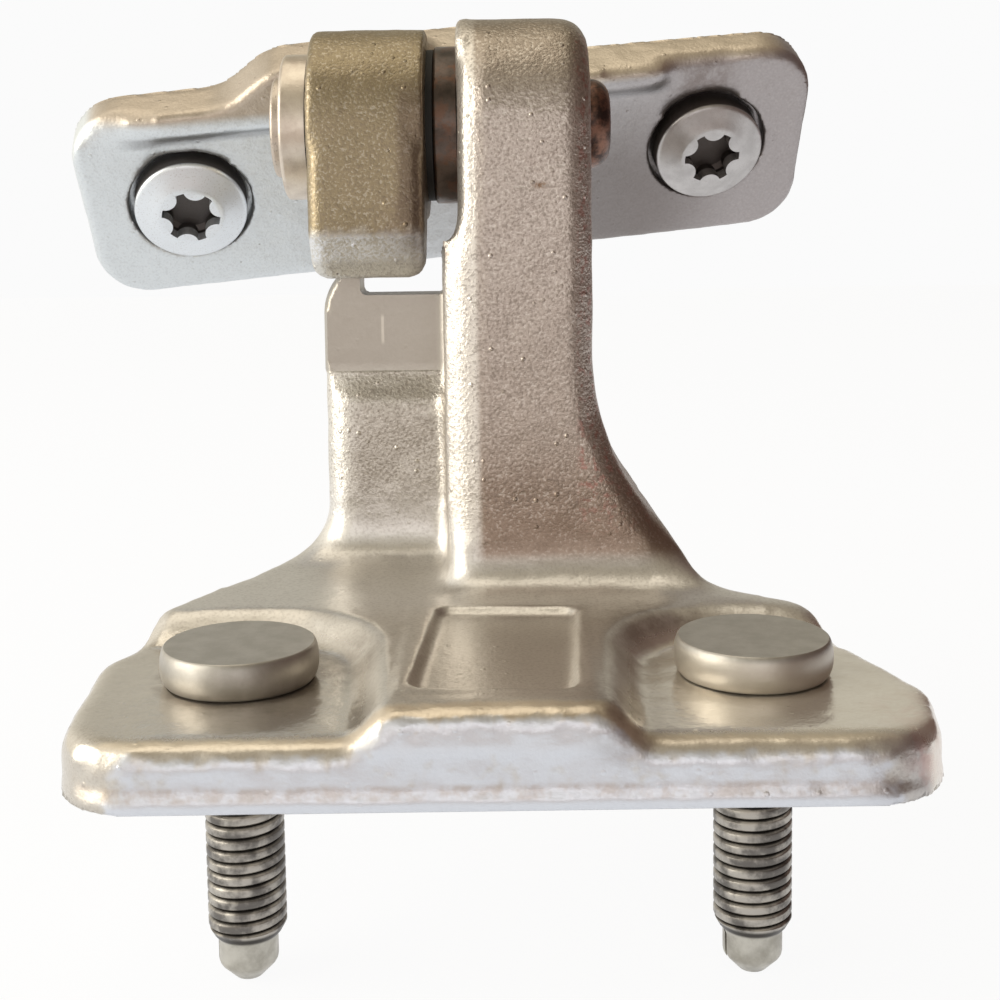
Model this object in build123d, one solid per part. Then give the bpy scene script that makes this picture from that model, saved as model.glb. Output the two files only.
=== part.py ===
"""Car door hinge: forged pillar bracket, pin with bushes, forged door leaf.

Millimetres. The origin lies on the bracket's mounting face, midway between its two studs.
+Z points away from the pillar, the pin runs along X, and the door leaf hangs on the +Y side.
"""
from build123d import *
from math import acos, asin, atan2, cos, radians, sin, sqrt, tan
import os

# Studs: M8, pressed through the foot plate from above
STUD_SPACING = 52.0
STUD_R = 4.0
STUD_LENGTH = 25.0
STUD_POINT_R = 3.05
STUD_POINT_LENGTH = 4.6
STUD_TIP_CHAMFER = 1.6
STUD_HEAD_R = 8.0
STUD_HEAD_HEIGHT = 3.7
STUD_HEAD_ROUND = 0.8
STUD_SEAT_R = 4.6
STUD_NECK_R = 3.6
STUD_NECK_LENGTH = 0.4
PRESS_GAP = 0.02

# Foot plate in plan
FRONT_Y = -19.5
BACK_Y = 47.0
FRONT_HALF = 40.5
SIDE_LEFT = -42.3
SIDE_LEFT_Y = 6.0
SIDE_RIGHT = 43.0
SIDE_RIGHT_Y = -6.0
BACK_LEFT = -23.0
BACK_RIGHT = 20.0
CREST_X = 35.4
CREST_Y = 18.0
WAIST_X = 26.5
WAIST_Y = 22.0
FRONT_CORNER_R = 8.5
SIDE_CORNER_R = 7.0
BACK_CORNER_R = 6.0
CREST_CORNER_R = 5.0
WAIST_R = 9.0
RIDGE_HEIGHT = 9.6
POCKET_DEPTH = 3.2
PLATE_TOP_ROUND = 2.2
PLATE_FOOT_ROUND = 0.3

# Pockets round the stud heads, open to the front and to the side
POCKET_R = 11.4
POCKET_SLOPE = 45.0
POCKET_FRONT_X = 13.0
POCKET_REAR_DROP = 1.5
POCKET_COVE_R = 2.0

# Recessed label panel on the ridge
LABEL_WIDTH = 14.4
LABEL_LENGTH = 26.0
LABEL_DEPTH = 1.0
LABEL_SLOPE = 40.0
LABEL_X = 0.4
LABEL_TURN = -3.4
LABEL_CORNER_R = 1.2

# Pin
PIN_Y = 34.5
PIN_Z = 63.1
PIN_R = 5.0
PIN_HEAD_R = 5.95
PIN_HEAD_THICK = 1.3
PIN_HEAD_ROUND = 0.4
PIN_DOME_R = 5.3
PIN_DOME_HEIGHT = 2.6
PIN_DOME_ROUND = 2.2
WASHER_R = 8.65
WASHER_THICK = 3.1
WASHER_ROUND = 0.5
RING_R = 9.35
RING_ROUND = 0.4
RUN_GAP = 0.03
FACE_GAP = 0.05

# Upright arm of the bracket
ARM_LEFT = -5.9
ARM_RIGHT = 11.7
ARM_R = 12.6
ARM_EDGE_ROUND = 3.4
ARM_FLARE_R = 29.0
ARM_FLARE_SWEEP = 68.6
ARM_FLARE_SINK = 0.6
ARM_BREAK_Z = 30.0
ARM_FOOT_R = 200.0
ARM_SET_BACK = 3.6
ARM_BACK_FOOT = 44.5
SPOT_FACE_R = 17.0
SPOT_FACE_DEPTH = 2.0

# Shoulder of the bracket, with the milled stop face
SHOULDER_LEFT = -21.2
SHOULDER_FRONT = 36.4
SHOULDER_LEAN = 1.2
SHOULDER_BACK = 44.0
SHOULDER_SET_BACK = 2.4
SHOULDER_TOP = 47.2
SHOULDER_EDGE_ROUND = 3.6
SHOULDER_TOP_R = 7.0
SHOULDER_FLARE_R = 6.5
SHOULDER_CORNER_R = 3.0
STOP_FACE_Y = 37.5
STOP_FACE_Z = 33.3
STOP_LEDGE_Z = 30.2
NOTCH_X = -16.4
NOTCH_Z = 42.6
FOOT_ROUND = 4.0

# Door leaf, drawn closed: its plate stands upright behind the pin
OPEN_ANGLE = 34.0
STOP_TRAVEL = 30.0
EYE_LEFT = -21.15
EYE_RIGHT = -7.45
EYE_R = 11.5
EYE_CHAMFER = 0.5
TOE_REACH = 17.4
TOE_TOP = -3.8
TOE_ROUND = 2.2
TOE_TIP_ROUND = 1.5
KNUCKLE_EDGE_ROUND = 2.0
TOE_GAP = 0.3
ROOT_END = 26.0
ROOT_TOP = -2.2
ROOT_BOTTOM = -15.0

# Plate of the door leaf
LEAF_OFFSET = 22.55
LEAF_DROP = 22.0
LEAF_MID_X = -5.5
LEAF_YAW = 8.0
LEAF_TILT = 1.5
LEAF_END_MARGIN = 14.8
LEAF_END_LEAN = 1.0
LEAF_BOTTOM_LEFT = -14.7
LEAF_BOTTOM_RIGHT = -15.3
LEAF_TOP = 15.2
LEAF_TOP_RIGHT = 14.5
LEAF_THICK = 6.0
LEAF_CORNER_R = 7.6
LEAF_FRONT_ROUND = 1.6
LEAF_BACK_ROUND = 0.6
HUMP_TOP = 20.3
HUMP_LEFT = -33.0
HUMP_RIGHT = 17.0
HUMP_RUN = 12.5
RIB_LEFT = -43.5
RIB_RIGHT = 30.6
RIB_BOTTOM = 10.9
RIB_LAND = 1.3
RIB_RAISE_LEFT = 1.4
RIB_RAISE_RIGHT = 2.5
RIB_ROUND = 1.3

# Bushes in the eye
BUSH_WALL = 1.0
BUSH_LENGTH = 6.4
BUSH_FLANGE_R = 9.0
BUSH_FLANGE = 0.8
BUSH_SHOW_LEFT = 0.2
BUSH_SEAT_GAP = 0.1

# Door screws: M8, pan head, six-lobe socket
SCREW_SPACING = 73.6
SCREW_R = 4.0
SCREW_HOLE_R = 4.6
SCREW_LENGTH = 22.0
SCREW_HEAD_R = 7.7
SCREW_RIM_RAISE = 1.7
SCREW_DOME = 1.3
SCREW_FLAT_R = 4.6
SCREW_RIM_ROUND = 0.5
SCREW_TIP_CHAMFER = 1.0
SCREW_NECK_R = 3.6
SCREW_NECK_CLEAR = 0.35
COUNTERBORE_R = 8.35
COUNTERBORE_DEPTH = 2.4
SOCKET_R = 3.965
SOCKET_INNER_R = 2.82
SOCKET_LOBE_R = 1.6
SOCKET_DEPTH = 3.0
SOCKET_LOBES = 6

# Values that follow from the driving dimensions
POCKET_FLOOR = RIDGE_HEIGHT - POCKET_DEPTH
ARM_FRONT = PIN_Y - ARM_R
ARM_BEARING = ARM_LEFT + SPOT_FACE_DEPTH
EYE_BORE_R = PIN_R + RUN_GAP + BUSH_WALL
STUD_X = STUD_SPACING / 2
LEAF_HALF = SCREW_SPACING / 2 + LEAF_END_MARGIN
FLARE_CENTRE_X = ARM_RIGHT + ARM_FLARE_R
FLARE_END_Z = RIDGE_HEIGHT - ARM_FLARE_SINK
FLARE_END_X = FLARE_CENTRE_X - ARM_FLARE_R * cos(radians(ARM_FLARE_SWEEP))
FLARE_TOP_Z = FLARE_END_Z + ARM_FLARE_R * sin(radians(ARM_FLARE_SWEEP))
OVERCUT = 5.0
TOUCH = 0.02
STEEP = 0.9


def disc(radius, thick, x):
    """Round disc about X, from x to x + thick, centred on the leaf or pin axis."""
    return extrude(Plane.YZ.offset(x) * Circle(radius), thick)


def plate_outline():
    """Plan of the foot plate, with rounded corners."""
    corners = [
        (-FRONT_HALF, FRONT_Y),
        (FRONT_HALF, FRONT_Y),
        (SIDE_RIGHT, SIDE_RIGHT_Y),
        (CREST_X, CREST_Y),
        (WAIST_X, WAIST_Y),
        (BACK_RIGHT, BACK_Y),
        (BACK_LEFT, BACK_Y),
        (SIDE_LEFT, SIDE_LEFT_Y),
    ]
    outline = make_face(Polyline(*corners, close=True))
    points = outline.vertices().sort_by(Axis.Y)
    outline = fillet(points[0:2], FRONT_CORNER_R)
    bends = [
        (SIDE_RIGHT, SIDE_RIGHT_Y, SIDE_CORNER_R),
        (SIDE_LEFT, SIDE_LEFT_Y, SIDE_CORNER_R),
        (CREST_X, CREST_Y, CREST_CORNER_R),
        (WAIST_X, WAIST_Y, WAIST_R),
        (BACK_RIGHT, BACK_Y, BACK_CORNER_R),
        (BACK_LEFT, BACK_Y, BACK_CORNER_R),
    ]
    for x, y, radius in bends:
        outline = fillet(outline.vertices().sort_by_distance((x, y, 0))[0], radius)
    return outline


def pocket_face(grow, height):
    """Plan of the right pocket at one height; its walls stand back by grow."""
    front = FRONT_Y - OVERCUT
    side = SIDE_RIGHT + OVERCUT
    reach = POCKET_R + grow
    inner = STUD_X - reach
    bend = reach * sqrt(0.5)
    edges = [
        Line((POCKET_FRONT_X - grow, front), (inner, 0)),
        ThreePointArc((inner, 0), (STUD_X - bend, bend), (STUD_X, reach)),
        Line((STUD_X, reach), (side, reach - POCKET_REAR_DROP)),
        Line((side, reach - POCKET_REAR_DROP), (side, front)),
        Line((side, front), (POCKET_FRONT_X - grow, front)),
    ]
    return Plane.XY.offset(height) * make_face(Curve() + edges)


def pocket_cutter():
    """Right pocket: flat floor, sloped wall with a cove, open to the front and to the side."""
    rise = POCKET_DEPTH + OVERCUT
    grow = rise * tan(radians(POCKET_SLOPE))
    cutter = loft([pocket_face(0, POCKET_FLOOR), pocket_face(grow, POCKET_FLOOR + rise)], ruled=True)
    foot = cutter.edges().group_by(Axis.Z)[0]
    foot = [e for e in foot if e.center().X < SIDE_RIGHT and e.center().Y > FRONT_Y - OVERCUT / 2]
    return fillet(foot, POCKET_COVE_R)


def foot_plate():
    """Plate with its two pockets, all upper edges and the foot edge rounded."""
    outline = plate_outline()
    cutter = pocket_cutter()
    body = extrude(outline, RIDGE_HEIGHT) - cutter - mirror(cutter, Plane.YZ)
    rim = outline.face().outer_wire()
    upper = []
    for edge in body.edges():
        spot = edge.position_at(0.5)
        on_rim = rim.distance_to(Vertex(spot.X, spot.Y, 0)) < TOUCH
        on_top = abs(spot.Z - RIDGE_HEIGHT) < TOUCH
        upright = abs(edge.tangent_at(0.5).Z) > STEEP
        if spot.Z > POCKET_FLOOR / 2 and (on_rim or on_top) and not upright:
            upper.append(edge)
    body = fillet(upper, PLATE_TOP_ROUND)
    return fillet(body.edges().group_by(Axis.Z)[0], PLATE_FOOT_ROUND)


def label_cutter():
    """Bare recessed panel with sloped walls."""
    grow = 2 * LABEL_DEPTH * tan(radians(LABEL_SLOPE))
    place = Pos(LABEL_X, 0, RIDGE_HEIGHT) * Rot(0, 0, LABEL_TURN)
    low = Pos(0, 0, -LABEL_DEPTH) * RectangleRounded(LABEL_WIDTH, LABEL_LENGTH, LABEL_CORNER_R)
    high = RectangleRounded(LABEL_WIDTH + grow, LABEL_LENGTH + grow, LABEL_CORNER_R + grow / 2)
    top = Pos(0, 0, LABEL_DEPTH) * RectangleRounded(
        LABEL_WIDTH + 2 * grow, LABEL_LENGTH + 2 * grow, LABEL_CORNER_R + grow
    )
    return place * loft([low, high, top], ruled=True)


def arm_front_at(z):
    """Y of the arm's front face, which leans forward below the break line."""
    below = max(ARM_BREAK_Z - z, 0)
    return ARM_FRONT - (ARM_FOOT_R - sqrt(ARM_FOOT_R**2 - below**2))


def arm():
    """Upright arm with a full round top and a flare down to the right."""
    foot_z = RIDGE_HEIGHT + FOOT_ROUND
    foot_y = arm_front_at(foot_z)
    lean = asin((ARM_BREAK_Z - foot_z) / ARM_FOOT_R)
    half = (ARM_BREAK_Z + foot_z) / 2
    toe_y = foot_y - FOOT_ROUND
    back = PIN_Y + ARM_R
    side_view = [
        Line((toe_y, 0), (toe_y, RIDGE_HEIGHT)),
        TangentArc((foot_y, foot_z), (toe_y, RIDGE_HEIGHT), tangent=(-sin(lean), -cos(lean))),
        ThreePointArc((foot_y, foot_z), (arm_front_at(half), half), (ARM_FRONT, ARM_BREAK_Z)),
        Line((ARM_FRONT, ARM_BREAK_Z), (ARM_FRONT, PIN_Z)),
        ThreePointArc((ARM_FRONT, PIN_Z), (PIN_Y, PIN_Z + ARM_R), (back, PIN_Z)),
        Line((back, PIN_Z), (ARM_BACK_FOOT, 0)),
        Line((ARM_BACK_FOOT, 0), (toe_y, 0)),
    ]
    side_face = Plane.YZ.offset(2 * ARM_LEFT) * make_face(Curve() + side_view)
    thick = extrude(side_face, 2 * FLARE_END_X)
    half_sweep = radians(ARM_FLARE_SWEEP / 2)
    high = PIN_Z + 2 * ARM_R
    front_view = [
        Line((ARM_LEFT, 0), (ARM_LEFT, high)),
        Line((ARM_LEFT, high), (ARM_RIGHT, high)),
        Line((ARM_RIGHT, high), (ARM_RIGHT, FLARE_TOP_Z)),
        ThreePointArc(
            (ARM_RIGHT, FLARE_TOP_Z),
            (FLARE_CENTRE_X - ARM_FLARE_R * cos(half_sweep), FLARE_TOP_Z - ARM_FLARE_R * sin(half_sweep)),
            (FLARE_END_X, FLARE_END_Z),
        ),
        Line((FLARE_END_X, FLARE_END_Z), (FLARE_END_X, 0)),
        Line((FLARE_END_X, 0), (ARM_LEFT, 0)),
    ]
    front_face = Plane.XZ * make_face(Curve() + front_view)
    tall = extrude(front_face, -2 * BACK_Y)
    block = thick & tall
    sides = block.faces().filter_by(
        lambda f: abs(f.normal_at(f.center()).X) > 0.5 and abs(f.center().X - FLARE_END_X) > TOUCH
    )
    rims = [edge for side in sides for edge in side.edges() if edge.center().Z > POCKET_FLOOR]
    rims = [e for e in rims if e.geom_type != GeomType.LINE or abs(e.tangent_at(0.5).Y) < STEEP]
    block = fillet(rims, ARM_EDGE_ROUND)
    bounds = offset(plate_outline(), -ARM_SET_BACK)
    return block & extrude(bounds, 2 * PIN_Z)


def shoulder():
    """Low upright left of the arm: milled stop face, notch and prong."""
    corner = SHOULDER_TOP_R
    bend = corner * (1 - sqrt(0.5))
    foot_z = RIDGE_HEIGHT + SHOULDER_FLARE_R
    flare = SHOULDER_FLARE_R * (1 - sqrt(0.5))
    outside = SHOULDER_LEFT - SHOULDER_FLARE_R
    inside = ARM_LEFT + ARM_EDGE_ROUND
    front_view = [
        Line((outside, 0), (outside, RIDGE_HEIGHT)),
        ThreePointArc(
            (outside, RIDGE_HEIGHT), (SHOULDER_LEFT - flare, RIDGE_HEIGHT + flare), (SHOULDER_LEFT, foot_z)
        ),
        Line((SHOULDER_LEFT, foot_z), (SHOULDER_LEFT, SHOULDER_TOP - corner)),
        ThreePointArc(
            (SHOULDER_LEFT, SHOULDER_TOP - corner),
            (SHOULDER_LEFT + bend, SHOULDER_TOP - bend),
            (SHOULDER_LEFT + corner, SHOULDER_TOP),
        ),
        Line((SHOULDER_LEFT + corner, SHOULDER_TOP), (inside, SHOULDER_TOP)),
        Line((inside, SHOULDER_TOP), (inside, 0)),
        Line((inside, 0), (outside, 0)),
    ]
    front_face = Plane.XZ * make_face(Curve() + front_view)
    foot_bend = FOOT_ROUND * (1 - sqrt(0.5))
    foot_y = SHOULDER_FRONT - SHOULDER_LEAN
    toe_y = foot_y - FOOT_ROUND
    side_view = [
        Line((toe_y, 0), (toe_y, RIDGE_HEIGHT)),
        ThreePointArc(
            (toe_y, RIDGE_HEIGHT),
            (foot_y - foot_bend, RIDGE_HEIGHT + foot_bend),
            (foot_y, RIDGE_HEIGHT + FOOT_ROUND),
        ),
        Line((foot_y, RIDGE_HEIGHT + FOOT_ROUND), (SHOULDER_FRONT, SHOULDER_TOP)),
        Line((SHOULDER_FRONT, SHOULDER_TOP), (SHOULDER_FRONT, 2 * SHOULDER_TOP)),
        Line((SHOULDER_FRONT, 2 * SHOULDER_TOP), (SHOULDER_BACK, 2 * SHOULDER_TOP)),
        Line((SHOULDER_BACK, 2 * SHOULDER_TOP), (SHOULDER_BACK, 0)),
        Line((SHOULDER_BACK, 0), (toe_y, 0)),
    ]
    side_face = Plane.YZ.offset(2 * SHOULDER_LEFT) * make_face(Curve() + side_view)
    block = extrude(front_face, -2 * BACK_Y) & extrude(side_face, -3 * SHOULDER_LEFT)
    sides = block.faces().filter_by(
        lambda f: f.normal_at(f.center()).X < -0.3 and f.center().X > outside + TOUCH
    )
    rims = [edge for side in sides for edge in side.edges() if edge.center().Z > POCKET_FLOOR]
    outer = [e for e in rims if e.center().Y < SHOULDER_BACK - TOUCH]
    outer = [e for e in outer if e.geom_type != GeomType.LINE or abs(e.tangent_at(0.5).Y) < STEEP]
    block = fillet(outer, SHOULDER_EDGE_ROUND)
    reach = SHOULDER_CORNER_R
    hollow = reach * (1 - sqrt(0.5))
    cove = [
        ThreePointArc(
            (ARM_LEFT, SHOULDER_FRONT - reach),
            (ARM_LEFT - hollow, SHOULDER_FRONT - hollow),
            (ARM_LEFT - reach, SHOULDER_FRONT),
        ),
        Line((ARM_LEFT - reach, SHOULDER_FRONT), (inside, SHOULDER_FRONT + reach)),
        Line((inside, SHOULDER_FRONT + reach), (inside, SHOULDER_FRONT - reach)),
        Line((inside, SHOULDER_FRONT - reach), (ARM_LEFT, SHOULDER_FRONT - reach)),
    ]
    block += extrude(make_face(Curve() + cove), SHOULDER_TOP - corner)
    high = SHOULDER_TOP + OVERCUT
    mill = [
        (SHOULDER_FRONT - OVERCUT, STOP_LEDGE_Z),
        (SHOULDER_FRONT, STOP_LEDGE_Z),
        (STOP_FACE_Y, STOP_FACE_Z),
        (STOP_FACE_Y, high),
        (SHOULDER_FRONT - OVERCUT, high),
    ]
    mill_face = Plane.YZ.offset(SHOULDER_LEFT - OVERCUT) * make_face(Polyline(*mill, close=True))
    block -= extrude(mill_face, inside - SHOULDER_LEFT + 2 * OVERCUT)
    block &= extrude(offset(plate_outline(), -SHOULDER_SET_BACK), 2 * PIN_Z)
    low_corner = (Align.MIN, Align.CENTER, Align.MIN)
    notch = Box(inside - NOTCH_X + OVERCUT, 2 * BACK_Y, 2 * OVERCUT, align=low_corner)
    return block - Pos(NOTCH_X, BACK_Y, NOTCH_Z) * notch


def bracket():
    """The whole pillar forging with its machined faces."""
    body = foot_plate() + arm() + shoulder() - label_cutter()
    axis = Pos(0, PIN_Y, PIN_Z)
    body -= axis * disc(SPOT_FACE_R, OVERCUT + SPOT_FACE_DEPTH, ARM_LEFT - OVERCUT)
    body -= axis * disc(PIN_R + PRESS_GAP, 2 * FLARE_END_X, 2 * ARM_LEFT)
    hole = Cylinder(STUD_SEAT_R + PRESS_GAP, 4 * RIDGE_HEIGHT)
    return body - Pos(STUD_X, 0, 0) * hole - Pos(-STUD_X, 0, 0) * hole


def stud():
    """M8 stud: flat round head on the pocket floor, pressed shank, neck, thread and dog point."""
    low = (Align.CENTER, Align.CENTER, Align.MIN)
    head = Pos(0, 0, POCKET_FLOOR) * Cylinder(STUD_HEAD_R, STUD_HEAD_HEIGHT, align=low)
    head = fillet(head.edges().group_by(Axis.Z)[-1], STUD_HEAD_ROUND)
    seat = Cylinder(STUD_SEAT_R, POCKET_FLOOR, align=low)
    neck = Pos(0, 0, -STUD_NECK_LENGTH) * Cylinder(STUD_NECK_R, POCKET_FLOOR, align=low)
    thread_end = STUD_POINT_LENGTH - STUD_LENGTH
    thread = Pos(0, 0, thread_end) * Cylinder(STUD_R, -STUD_NECK_LENGTH - thread_end, align=low)
    thread = chamfer(thread.edges().group_by(Axis.Z)[0], STUD_R - STUD_POINT_R)
    point = Pos(0, 0, -STUD_LENGTH) * Cylinder(STUD_POINT_R, STUD_POINT_LENGTH, align=low)
    point = chamfer(point.edges().group_by(Axis.Z)[0], STUD_TIP_CHAMFER)
    return head + seat + neck + thread + point


def rounded_disc(radius, thick, x, rounding, end):
    """Disc about X with one rim rounded: end 0 is the low-X rim, end -1 the high-X rim."""
    body = disc(radius, thick, x)
    return fillet(body.edges().group_by(Axis.X)[end], rounding)


def pin_group():
    """Pin, washer and ring, on the pin axis."""
    washer_right = EYE_LEFT - BUSH_SHOW_LEFT - FACE_GAP
    washer_left = washer_right - WASHER_THICK
    ring_left = EYE_RIGHT + BUSH_FLANGE + FACE_GAP
    shank = disc(PIN_R, ARM_RIGHT - washer_left, washer_left)
    head = rounded_disc(PIN_HEAD_R, PIN_HEAD_THICK, washer_left - PIN_HEAD_THICK, PIN_HEAD_ROUND, 0)
    dome = rounded_disc(PIN_DOME_R, PIN_DOME_HEIGHT, ARM_RIGHT, PIN_DOME_ROUND, -1)
    washer = rounded_disc(WASHER_R, WASHER_THICK, washer_left, WASHER_ROUND, 0)
    hole = disc(PIN_R + PRESS_GAP, EYE_RIGHT - EYE_LEFT + 8 * OVERCUT, EYE_LEFT - 4 * OVERCUT)
    ring = rounded_disc(RING_R, ARM_BEARING - ring_left, ring_left, RING_ROUND, 0)
    place = Pos(0, PIN_Y, PIN_Z)
    return place * (shank + head + dome), place * (washer - hole), place * (ring - hole)


def bush(flange_x, way):
    """Flanged bush in the leaf's frame; way is +1 when its tube runs towards +X."""
    tube_r = EYE_BORE_R - PRESS_GAP
    flange = disc(BUSH_FLANGE_R, BUSH_FLANGE, flange_x)
    tube_x = flange_x if way > 0 else flange_x + BUSH_FLANGE - BUSH_LENGTH
    tube = disc(tube_r, BUSH_LENGTH, tube_x)
    bore = disc(PIN_R + RUN_GAP, 4 * BUSH_LENGTH, flange_x - 2 * BUSH_LENGTH)
    return flange + tube - bore


def tangent_point(y, z, radius, side):
    """Where a line from (y, z) touches the circle round the pin; side +1 or -1 picks the touch."""
    reach = sqrt(y * y + z * z)
    angle = atan2(z, y) + side * acos(radius / reach)
    return radius * cos(angle), radius * sin(angle)


def knuckle_block():
    """Eye, stop toe and root of the door leaf, before boring."""
    stop_turn = radians(OPEN_ANGLE + STOP_TRAVEL)
    stop_depth = STOP_FACE_Y - PIN_Y - TOE_GAP
    normal = (cos(stop_turn), -sin(stop_turn))
    start = (stop_depth * normal[0], stop_depth * normal[1])
    run = (TOE_REACH + start[0]) / sin(stop_turn)
    toe_low = (-TOE_REACH, start[1] - run * cos(stop_turn))
    toe_high = (-TOE_REACH, TOE_TOP)
    crown = tangent_point(*toe_high, EYE_R, -1)
    toe = make_face(Polyline(crown, toe_high, toe_low, start, close=True))
    root_top = tangent_point(ROOT_END, ROOT_TOP, EYE_R, 1)
    root_low = tangent_point(ROOT_END, ROOT_BOTTOM, EYE_R, -1)
    root = make_face(
        Polyline(root_top, (ROOT_END, ROOT_TOP), (ROOT_END, ROOT_BOTTOM), root_low, (0, 0), close=True)
    )
    outline = Circle(EYE_R) + toe + root
    outline = fillet(outline.vertices().sort_by_distance((*toe_high, 0))[0], TOE_ROUND)
    outline = fillet(outline.vertices().sort_by_distance((*toe_low, 0))[0], TOE_TIP_ROUND)
    width = EYE_RIGHT - EYE_LEFT
    block = extrude(Plane.YZ.offset(EYE_LEFT) * outline, width)
    sides = block.faces().filter_by(Axis.X)
    rims = [e for side in sides for e in side.edges() if abs(e.center().Y - ROOT_END) > TOUCH]
    block = fillet(rims, KNUCKLE_EDGE_ROUND)
    eye = disc(EYE_R, width, EYE_LEFT)
    eye = chamfer(eye.edges().group_by(Axis.X)[0], EYE_CHAMFER)
    return block + eye


def leaf_plane():
    """Front face of the leaf's plate, in the closed leaf's frame about the pin."""
    yaw = radians(LEAF_YAW)
    tilt = radians(LEAF_TILT)
    along = (cos(yaw) * cos(tilt), sin(yaw) * cos(tilt), sin(tilt))
    front = (sin(yaw), -cos(yaw), 0)
    return Plane(origin=(LEAF_MID_X, LEAF_OFFSET, -LEAF_DROP), x_dir=along, z_dir=front)


def leaf_outline():
    """Plate of the door leaf seen from the front, with the hump over the eye."""
    run_left = HUMP_LEFT + HUMP_RUN
    run_right = HUMP_RIGHT - HUMP_RUN
    right_low = (LEAF_HALF - LEAF_END_LEAN, LEAF_BOTTOM_RIGHT)
    right_high = (LEAF_HALF + LEAF_END_LEAN / 2, LEAF_TOP_RIGHT)
    flat = [(1, 0), (1, 0)]
    edges = [
        Line((-LEAF_HALF, LEAF_BOTTOM_LEFT), right_low),
        Line(right_low, right_high),
        Line(right_high, (HUMP_RIGHT, LEAF_TOP)),
        Spline((run_right, HUMP_TOP), (HUMP_RIGHT, LEAF_TOP), tangents=flat),
        Line((run_right, HUMP_TOP), (run_left, HUMP_TOP)),
        Spline((HUMP_LEFT, LEAF_TOP), (run_left, HUMP_TOP), tangents=flat),
        Line((HUMP_LEFT, LEAF_TOP), (-LEAF_HALF, LEAF_TOP)),
        Line((-LEAF_HALF, LEAF_TOP), (-LEAF_HALF, LEAF_BOTTOM_LEFT)),
    ]
    face = make_face(Curve() + edges)
    corners = [v for v in face.vertices() if abs(v.X) > LEAF_HALF - 2 * LEAF_END_LEAN]
    return fillet(corners, LEAF_CORNER_R)


def leaf_plate():
    """Plate with its rounded edges and the rib along the top, front face at local Z = 0."""
    outline = leaf_outline()
    plate = extrude(outline, -LEAF_THICK)
    plate = fillet(plate.edges().group_by(Axis.Z)[-1], LEAF_FRONT_ROUND)
    plate = fillet(plate.edges().group_by(Axis.Z)[0], LEAF_BACK_ROUND)
    slab = extrude(outline, 2 * RIB_RAISE_RIGHT) + extrude(outline, -LEAF_THICK / 2)
    length = [
        (RIB_LEFT, -LEAF_THICK / 2),
        (RIB_LEFT, RIB_RAISE_LEFT),
        (RIB_RIGHT, RIB_RAISE_RIGHT),
        (RIB_RIGHT, -LEAF_THICK / 2),
    ]
    wedge = extrude(Plane.XZ.offset(-2 * HUMP_TOP) * make_face(Polyline(*length, close=True)), 4 * HUMP_TOP)
    section = [
        (RIB_BOTTOM - RIB_LAND, -LEAF_THICK),
        (RIB_BOTTOM + RIB_LAND, 2 * RIB_RAISE_RIGHT),
        (2 * HUMP_TOP, 2 * RIB_RAISE_RIGHT),
        (2 * HUMP_TOP, -LEAF_THICK),
    ]
    above = extrude(
        Plane.YZ.offset(-2 * LEAF_HALF) * make_face(Polyline(*section, close=True)), 4 * LEAF_HALF
    )
    rib = slab & wedge & above
    top = [f for f in rib.faces() if f.normal_at(f.center()).Z > 0.99]
    rib = fillet(top[0].edges(), RIB_ROUND)
    return plate + rib


def leaf():
    """The whole door forging, closed, in the pin's frame."""
    place = leaf_plane().location
    body = knuckle_block() + place * leaf_plate()
    half = SCREW_SPACING / 2
    bore = Pos(0, 0, -COUNTERBORE_DEPTH) * Cylinder(
        COUNTERBORE_R, 4 * OVERCUT, align=(Align.CENTER, Align.CENTER, Align.MIN)
    )
    cutter = bore + Cylinder(SCREW_HOLE_R, 4 * OVERCUT)
    body -= place * Pos(-half, 0, 0) * cutter
    body -= place * Pos(half, 0, 0) * cutter
    width = EYE_RIGHT - EYE_LEFT
    body -= disc(EYE_BORE_R, width + 2 * OVERCUT, EYE_LEFT - OVERCUT)
    seat = BUSH_FLANGE - BUSH_SHOW_LEFT
    return body - disc(BUSH_FLANGE_R + BUSH_SEAT_GAP, OVERCUT + seat, EYE_LEFT - OVERCUT)


def screw():
    """M8 pan head screw, its plate face at local Z = 0, head towards +Z."""
    seat = -COUNTERBORE_DEPTH
    low = (Align.CENTER, Align.CENTER, Align.MIN)
    rim = Pos(0, 0, seat) * Cylinder(SCREW_HEAD_R, SCREW_RIM_RAISE - seat, align=low)
    dome = Pos(0, 0, SCREW_RIM_RAISE) * Cone(SCREW_HEAD_R, SCREW_FLAT_R, SCREW_DOME, align=low)
    head = rim + dome
    shoulder_edge = head.edges().filter_by(lambda e: abs(e.center().Z - SCREW_RIM_RAISE) < TOUCH)
    head = fillet(shoulder_edge, SCREW_RIM_ROUND)
    neck_length = LEAF_THICK - COUNTERBORE_DEPTH + SCREW_NECK_CLEAR
    neck = Pos(0, 0, seat - neck_length) * Cylinder(SCREW_NECK_R, neck_length, align=low)
    thread = Pos(0, 0, seat - SCREW_LENGTH) * Cylinder(SCREW_R, SCREW_LENGTH - neck_length, align=low)
    thread = chamfer(thread.edges().group_by(Axis.Z)[0], SCREW_TIP_CHAMFER)
    lobe_at = SOCKET_INNER_R + SOCKET_LOBE_R
    lobes = PolarLocations(lobe_at, SOCKET_LOBES) * Circle(SOCKET_LOBE_R)
    socket = Circle(SOCKET_R) - lobes
    top = SCREW_RIM_RAISE + SCREW_DOME
    return head + neck + thread - Pos(0, 0, top - SOCKET_DEPTH) * extrude(socket, 2 * SOCKET_DEPTH)


pin, washer, ring = pin_group()
door = Pos(0, PIN_Y, PIN_Z) * Rot(OPEN_ANGLE, 0, 0)
on_plate = door * leaf_plane().location
one_stud = stud()
one_screw = screw()

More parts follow.
